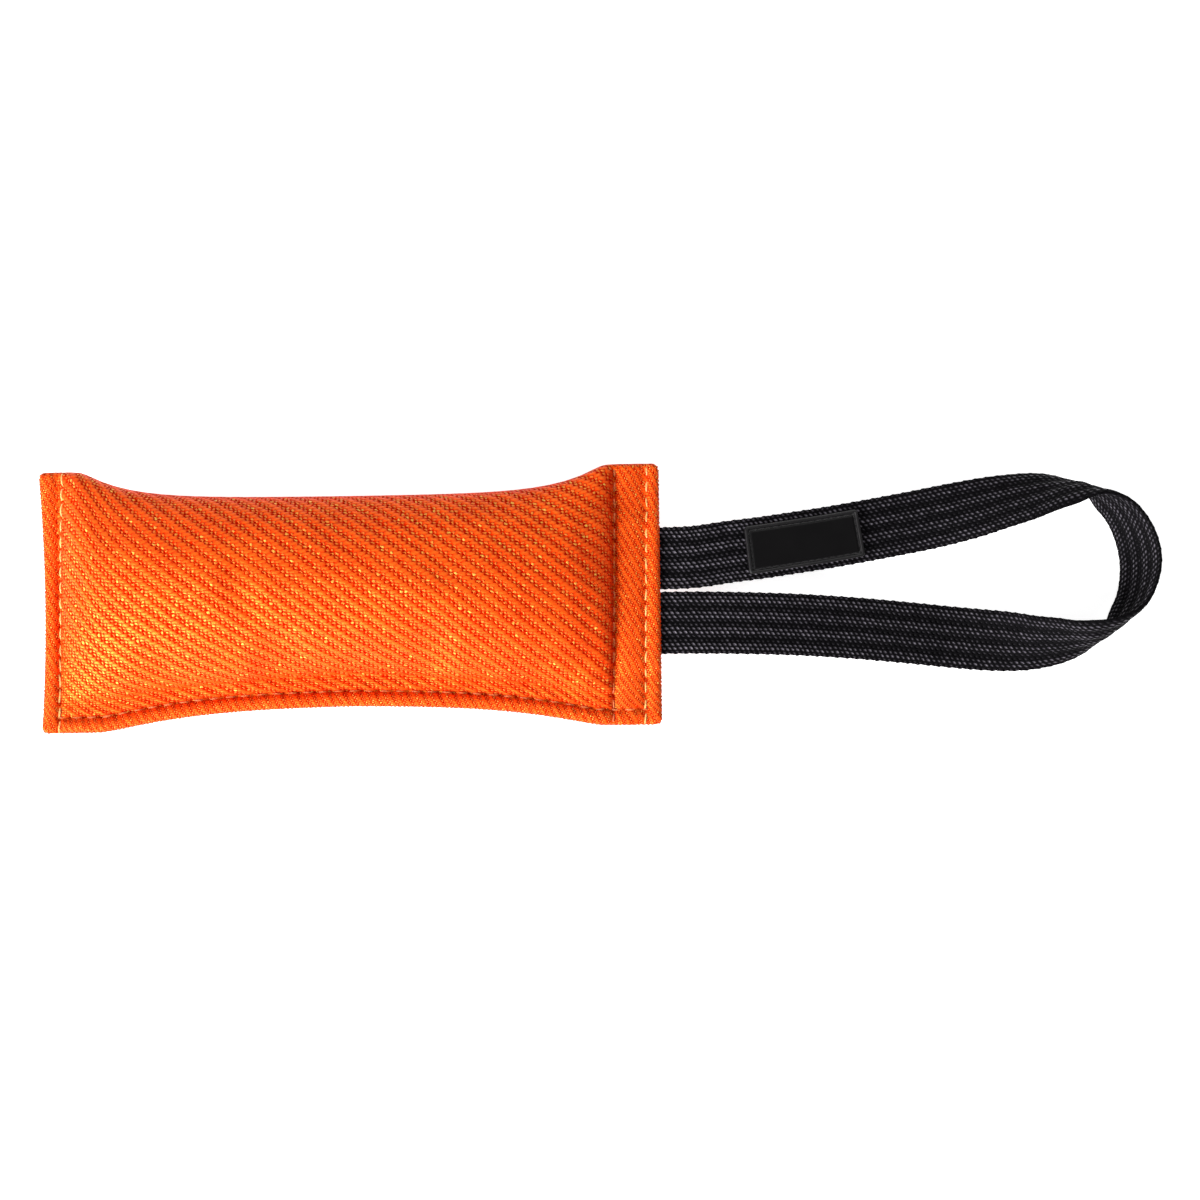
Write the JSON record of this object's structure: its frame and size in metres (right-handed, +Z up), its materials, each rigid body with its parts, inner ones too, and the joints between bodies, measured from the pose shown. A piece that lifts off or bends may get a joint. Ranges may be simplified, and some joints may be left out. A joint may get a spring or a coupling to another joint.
{
  "type": "training bumper",
  "caption": "Stuffed fabric dog training bumper: folded twill pillow with stitched hems and a hand loop of flat webbing at one end.",
  "frame": {"origin": "on the pillow's flat resting patch, under the middle of the pillow's outline", "axes": "+X from the pillow to the hand loop, +Y from the pillow's hemmed long side to its folded side, +Z up"},
  "size_m": [0.3601, 0.084, 0.0376],
  "materials": {
    "cover_twill": "coarse ribbed twill",
    "filling_wadding": "soft wadding",
    "webbing": "woven flat webbing",
    "label_rubber": "matt moulded rubber",
    "seam_thread": "twisted thread"
  },
  "bodies": {
    "pillow": {"cover": "cover_twill", "filling": "filling_wadding", "fold_side_tail": "webbing", "hem_side_tail": "webbing"},
    "handle": {"handle_loop": "webbing", "label_patch": "label_rubber"}
  },
  "joints": [
    {"name": "handle_swing", "type": "hinge", "parent": "pillow", "child": "handle", "pos_m": [0.1035, 0, 0.0182], "axis": [0, -1, 0], "range_deg": [-125, 130]}
  ]
}
